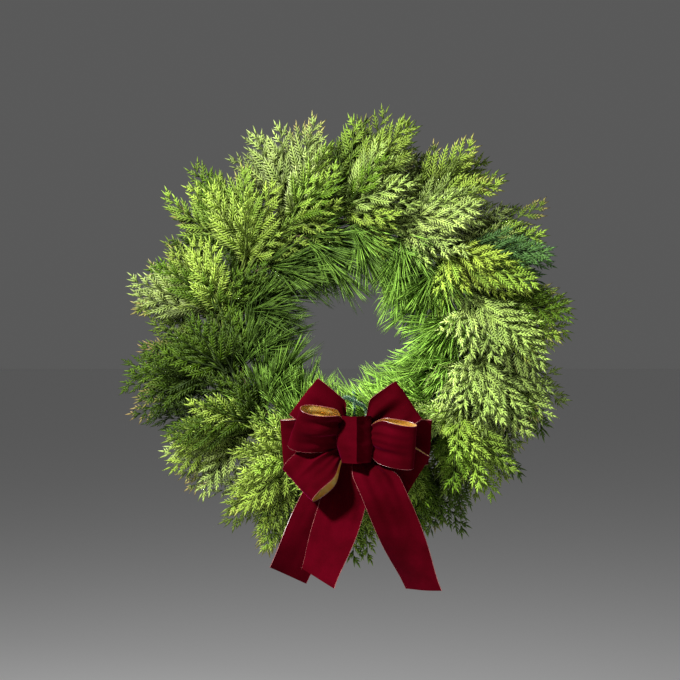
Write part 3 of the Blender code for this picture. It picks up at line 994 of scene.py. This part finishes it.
def ribbon(name, middles, across, half_widths, relief, inside_out, closed, edging=WIRED):
    """A wired ribbon through middles (r, 3): velvet on one side, gold on the other.

    relief(x) gives how far each row (r, 1) stands up at x, from -1 to 1 across it. Beads
    run along its edges, where the wires are."""
    rows = len(middles)
    out = unit(np.cross(directions(middles, closed), across))
    columns, skin, bead = RIBBON_COLUMNS, RIBBON_SKIN, RIBBON_EDGE
    x = np.linspace(-1, 1, columns)
    raised = relief(x[None])
    ends = np.array([-0.9, -0.35, 0.35, 0.9]) * math.pi / 2
    profile = [(x[i], 0.0, skin, i) for i in range(columns)]
    profile += [(1.0, bead * math.cos(a), -bead * math.sin(a), columns - 1) for a in ends]
    profile += [(x[i], 0.0, -skin, i) for i in reversed(range(columns))]
    profile += [(-1.0, -bead * math.cos(a), bead * math.sin(a), 0) for a in ends]
    back_end = 2 * columns + len(ends) - 1
    rings = np.stack(
        [
            middles
            + across * (half_widths * at + more)[:, None]
            + out * (raised[:, column] + height)[:, None]
            for at, more, height, column in profile
        ],
        axis=1,
    )
    round_it = len(profile)
    faces = grid_faces(rows, round_it, closed)
    front, back = (BACK, FACE) if inside_out else (FACE, BACK)
    edge = [edging] * (len(ends) + 1)
    round_slots = [front] * (columns - 1) + edge + [back] * (columns - 1) + edge
    slots = round_slots * (rows if closed else rows - 1)
    if not closed:
        caps = ((0, False), ((rows - 1) * round_it, True))
        for i in range(columns - 1):
            a, b = i, back_end - i
            for start, flip in caps:
                quad = (start + a, start + b, start + b - 1, start + a + 1)
                faces.append(tuple(reversed(quad)) if flip else quad)
                slots.append(WIRED)
        for start, flip in caps:
            corners = range(len(ends) + 2)
            right = tuple(start + columns - 1 + j for j in corners)
            left = tuple(start + (back_end + j) % round_it for j in corners)
            for side in (left, right):
                faces.append(side if flip else tuple(reversed(side)))
                slots.append(WIRED)
    mesh = bpy.data.meshes.new(name)
    mesh.from_pydata([tuple(p) for p in rings.reshape(-1, 3)], [], faces)
    mesh.polygons.foreach_set("material_index", np.array(slots, dtype=np.int32))
    mesh.shade_smooth()
    mesh.set_sharp_from_angle(angle=math.radians(55))
    obj = piece(name + "_ribbon", mesh, [VELVET, LINING, EDGE], [name])
    step = np.diff(np.concatenate([middles, middles[:1]]) if closed else middles, axis=0)


def bow_loop(name, seed, angle, length, rise, arch, opening, lean, spread, layer, raised, folds):
    angle, rise, lean = (math.radians(a) for a in (angle, rise, lean))
    flat = np.array([math.cos(angle), 0, math.sin(angle)])
    out = flat * math.cos(rise) + TO_VIEWER * math.sin(rise)
    over = TO_VIEWER * math.cos(rise) - flat * math.sin(rise)
    side = np.cross(out, over)
    across = side * math.cos(lean) + over * math.sin(lean)
    over = over * math.cos(lean) - side * math.sin(lean)
    upright = UP if side[2] > 0 else -UP
    side_of_tie = 1 * MM if flat[0] > 0 else -1 * MM
    middles, acrosses, halves = [], [], []
    turns = np.linspace(0, math.tau, 81)
    shares = (1 - np.cos(turns)) / 2
    for turn, share in zip(turns, shares):
        bulge = opening * MM * math.sin(turn) * math.sin(turn / 2) ** 2
        opened = float(smoothstep(share / spread))
        depth = layer_depth(layer + (1 + math.cos(turn / 2)) / 2)
        depth += arch * MM * math.sin(math.pi * share) ** 2
        depth += length * MM * share * math.sin(rise) * float(smoothstep(share / 0.3))
        middle = from_waist(side_of_tie, 0, depth)
        middle = middle + flat * (length * MM * share * math.cos(rise))
        middle = middle + UP * (raised * MM * float(smoothstep(share / 0.4)))
        middles.append(middle + over * bulge)
        acrosses.append(unit(lerp(upright, across, opened)))
        halves.append(lerp(GATHERED, RIBBON, opened) / 2)
    share = shares[:, None]
    gathered = 4.4 * MM * smoothstep(share / spread) * (1 - share) ** 0.9
    half = np.where(turns > math.pi, 1.0, -1.0)[:, None]

    def relief(x):
        up = gathered * pleats(x + 0.12 * half, seed) * (1 - 0.3 * x**2)
        up = up + 0.5 * MM * np.sin(3.1 * x + seed) * np.sin(9 * share + seed)
        for at, height, wide in folds:
            across_it = np.exp(-(((x - at) / wide) ** 2))
            up = up + half * height * MM * np.sin(math.pi * share) * across_it
        return up

    shape = (np.array(middles), np.array(acrosses), np.array(halves), relief)
    ribbon(name, *shape, inside_out=True, closed=False)


def center_loop():
    """The loop round the knot, bent to a ridge towards the viewer."""
    steps = 80
    length, opening, tie_room, aside = 38 * MM, 27 * MM, 3.6 * MM, 3 * MM
    steeper = 0.57  # bends the right side back from the light
    middles, halves = [], []
    turns = math.tau * (np.arange(steps) + 0.5) / steps
    for turn in turns:
        share = (1 - math.cos(turn)) / 2
        right = opening * math.sin(turn) * math.sin(turn / 2) ** 2 + tie_room * math.cos(turn / 2)
        right += aside * share
        forward = 0.2 * share + 0.8 * (1 - abs(math.cos(turn / 2)))
        if turn < math.pi:
            forward = 1 - (1 - forward) ** steeper
        middles.append(from_waist(right, 0, layer_depth(LAYERS - 1) + length * forward))
        opened = float(smoothstep(share / 0.6))
        halves.append(lerp(GATHERED, RIBBON, opened) / 2)
    to_left = np.maximum(0, -np.sin(turns))[:, None] * 10 * MM
    to_right = np.maximum(0, np.sin(turns))[:, None] * 4 * MM
    pleated = 1.6 * MM * (1 - np.cos(turns[:, None])) / 2

    def relief(x):
        return pleated * pleats(x, 1.0) * 0.4 - (to_left + to_right) * (1 - np.abs(x)) ** 0.8

    shape = (np.array(middles), np.tile(UP, (steps, 1)), np.array(halves), relief)
    ribbon("bow_center_loop", *shape, inside_out=True, closed=True, edging=FACE)


def bezier(a, b, c, d, count):
    t = np.linspace(0, 1, count)[:, None]
    return a * (1 - t) ** 3 + 3 * b * t * (1 - t) ** 2 + 3 * c * t * t * (1 - t) + d * t**3


def bow_tail(name, seed, layer, shoulder, end, cut, turned):
    beside = math.copysign((TIE_WIRE + GATHERED) / 2 + TIE_GAP, shoulder[0])
    top = from_waist(beside, GATHERED / 2, layer_depth(layer))
    waist = from_waist(beside, -GATHERED / 2 - 8 * MM, layer_depth(layer))
    shoulder, end = (from_waist(*(np.array(p) * MM)) for p in (shoulder, end))
    down = -UP
    run = unit(unit(end - shoulder) + unit(shoulder - waist))
    first = 0.38 * np.linalg.norm(shoulder - waist)
    second = 0.35 * np.linalg.norm(end - shoulder)
    middles = np.concatenate(
        [
            np.linspace(top, waist, 8, endpoint=False),
            bezier(waist, waist + down * first, shoulder - run * first, shoulder, 28),
            bezier(shoulder, shoulder + run * second, end - (end - shoulder) * 0.3, end, 34)[1:],
        ]
    )
    fall = (waist[2] - middles[:, 2]) / (waist[2] - end[2])
    share = smoothstep(fall)[:, None]
    slope, turn = math.radians(cut) * share, math.radians(turned) * share**3
    level = np.concatenate([np.cos(slope), 0 * slope, np.sin(slope)], axis=1)
    across = level * np.cos(turn) + TO_VIEWER * np.sin(turn)
    opened = smoothstep((waist[2] - middles[:, 2]) / (40 * MM))
    halves = lerp(GATHERED, RIBBON, opened) / 2
    gathered = (3.2 * MM * opened * (1 - fall) ** 2)[:, None]
    wave = (fall * 7 + seed)[:, None]

    def relief(x):
        soft = 1.2 * MM * np.sin(2.4 * x + wave) * opened[:, None]
        return gathered * pleats(x * 0.8, seed) + soft

    ribbon(name, middles, across, halves, relief, inside_out=False, closed=False)


STEM_STEP = 3.0 * MM  # between the rings of a chenille stem's wire
# The stem's loose loop above the knot, right and up of the waist and towards the viewer.
LOOSE_LOOP = [
    (4, 14, -9),
    (20, 30, -6),
    (14, 43, -3),
    (0, 50, -3),
    (-14, 57, -6),
    (-20, 46, -12),
    (-5, 14, -12),
]


def tie():
    """A fuzzy green chenille stem round the waist and back through the hole to the rails."""
    waist_radius = CENTRE[2] - WAIST[2]
    waist_depth = -WAIST[1]
    clear = TIE_GAP + TIE_WIRE / 2
    beside = GATHERED / 2 + 1.25 * clear
    before = layer_depth(LAYERS - 1) + 0.5 * MM + 1.05 * clear
    under_rail = (RAIL_WIRE + TIE_WIRE) / 2 + TIE_GAP
    corners = [
        (beside - clear, -before),
        (beside, 0.75 * clear - before),
        (beside, before - 0.75 * clear),
        (beside - clear, before),
        (clear - beside, before),
        (-beside, before - 0.75 * clear),
        (-beside, 0.75 * clear - before),
    ]
    path = [(waist_radius + down, waist_depth + out) for down, out in corners]
    path += [(124 * MM, 74 * MM), (108 * MM, 60 * MM), (92 * MM, 52 * MM)]
    path += [(81 * MM, 42 * MM), (78 * MM, 20 * MM), (80 * MM, 2 * MM), (90 * MM, -7 * MM)]
    path += [
        (INNER_RAIL, -under_rail),
        (OUTER_RAIL, -under_rail),
        (OUTER_RAIL + 0.75 * under_rail, -0.75 * under_rail),
        (OUTER_RAIL + 1.02 * under_rail, -0.1 * under_rail),
    ]
    aside = np.array([WAIST[0], 0, 0])
    knots = np.array([place(math.pi, 0, radius, depth) + aside for radius, depth in path])
    soup = Soup()
    rng = np.random.default_rng(5)
    chenille(soup, smoothed(knots, STEM_STEP), 3600, rng)
    loop = np.array([from_waist(*(np.array(spot) * MM)) for spot in LOOSE_LOOP])
    chenille(soup, smoothed(loop, STEM_STEP), 2600, rng)
    mesh = soup.mesh("bow_tie_chenille", bends=False)
    piece("bow_tie_chenille", mesh, [CHENILLE], ["bow_tie"])


def chenille(soup, line, n, rng):
    """A thin wire along the line with n short fibres all round it."""
    way = directions(line)
    across = unit(np.cross(way, np.array([1.0, 0.02, 0.0])))
    over = np.cross(across, way)
    green = np.array([0.012, 0.085, 0.028])
    radii = np.full((1, len(line)), 0.9 * MM)
    tubes(soup, line[None], across[None], over[None], radii, green * 0.6, sides=6)
    at = rng.uniform(0, len(line) - 1.001, n)
    low = at.astype(int)
    share = (at - low)[:, None]
    base = line[low] * (1 - share) + line[low + 1] * share
    turn = rng.uniform(0, math.tau, n)[:, None]
    lean = rng.uniform(-0.45, 0.45, (n, 1))
    fibre = unit(across[low] * np.cos(turn) + over[low] * np.sin(turn) + way[low] * lean)
    tint = green * rng.uniform(0.7, 1.7, (n, 1))
    length = rng.uniform(2.8, 4.6, n) * MM
    thin_spikes(soup, base, fibre, way[low], length, 0.45 * MM, tint)


def thin_spikes(soup, base, along, side, length, width, tint):
    """Fibres as slim three-sided spikes, painted darker at the root, where the fibres shade each
    other, and lighter at the tip: painted shade and painted light.
    """
    over = unit(np.cross(along, side))
    side = np.cross(over, along)
    points = np.stack(
        [
            base + side * width,
            base - side * width * 0.5 + over * width * 0.8,
            base - side * width * 0.5 - over * width * 0.8,
            base + along * length[:, None],
        ],
        axis=1,
    )
    faces = np.array([(0, 1, 3), (1, 2, 3), (2, 0, 3), (0, 2, 1)])
    within = np.array([(0, 0), (0.5, 0), (1, 0), (0.5, 1)])
    # Painted shade at the root, painted light at the tip.
    soup.add(points, faces, within, np.stack([tint * 0.5] * 3 + [tint * 1.5], axis=1))


def smoothed(knots, spacing):
    """Points at even spacing along the knots, with the corners rounded off."""
    gaps = np.linalg.norm(np.diff(knots, axis=0), axis=1)
    run = np.concatenate([[0], np.cumsum(gaps)])
    even = np.linspace(0, run[-1], int(run[-1] / MM))
    line = np.stack([np.interp(even, run, knots[:, i]) for i in range(3)], axis=1)
    for _ in range(12):
        line[1:-1] = (line[:-2] + line[1:-1] * 2 + line[2:]) / 4
    keep = np.linspace(0, len(line) - 1, int(run[-1] / spacing)).astype(int)
    return line[keep]


def bow():
    for i, (name, shape) in enumerate(LOOPS.items()):
        bow_loop(name, 60 + i, *shape, FOLDS.get(name, []))
    for i, (name, shape) in enumerate(TAILS.items()):
        bow_tail(name, 80 + i, *shape)
    center_loop()
    tie()


# ---------------------------------------------------------------- studio


FLOOR_DROP = 1.1  # from the lowest point of the wreath to the floor
# Each light's place from the ring's middle (m), size (m) and power (W).
LIGHTS = {
    "key": ((-1.3, -1.5, 1.3), 0.25, 172),
    "fill": ((1.6, -1.7, 0.2), 0.7, 9),
    "back": ((0.9, 2.0, 0.9), 1.2, 16),
}
CAMERA_FROM_MIDDLE = (-0.0176, -1.8, -0.0059)
LENS = 65


def studio():
    scene = bpy.context.scene
    floor = bpy.data.meshes.new("floor")
    low = CAD_BOUNDS[0][2] - FLOOR_DROP
    corners = [(-40, -20, low), (40, -20, low), (40, 60, low), (-40, 60, low)]
    floor.from_pydata(corners, [], [(0, 1, 2, 3)])
    ground = bpy.data.objects.new("floor", floor)
    scene.collection.objects.link(ground)
    made, tree = node_material("pale_floor")
    shader = tree.nodes["Principled BSDF"]
    shader.inputs["Base Color"].default_value = (0.93, 0.93, 0.93, 1)
    shader.inputs["Roughness"].default_value = 0.9
    floor.materials.append(made)
    world = bpy.data.worlds.new("pale_studio")
    scene.world = world
    world.use_nodes = True
    sky = world.node_tree.nodes["Background"]
    sky.inputs["Color"].default_value = (0.9, 0.9, 0.9, 1)
    sky.inputs["Strength"].default_value = 0.112
    for name, (spot, size, energy) in LIGHTS.items():
        light = bpy.data.lights.new(name, "AREA")
        light.shape = "DISK"
        light.size = size
        light.energy = energy
        obj = bpy.data.objects.new(name, light)
        scene.collection.objects.link(obj)
        obj.location = CENTRE + np.array(spot)
        aim(obj, CENTRE)
    lens = bpy.data.cameras.new("camera")
    lens.lens = LENS
    lens.sensor_width = 36
    camera = bpy.data.objects.new("camera", lens)
    scene.collection.objects.link(camera)
    camera.location = CENTRE + np.array(CAMERA_FROM_MIDDLE)
    camera.rotation_euler = (math.pi / 2, 0, 0)
    scene.camera = camera
    scene.view_settings.view_transform = "Standard"


def aim(obj, target):
    way = unit(np.array(target) - np.array(obj.location))
    obj.rotation_euler = (math.acos(-way[2]), 0, math.atan2(way[0], -way[1]) + math.pi)


def main():
    studio()
    wire_ring()
    greenery()
    bow()


main()
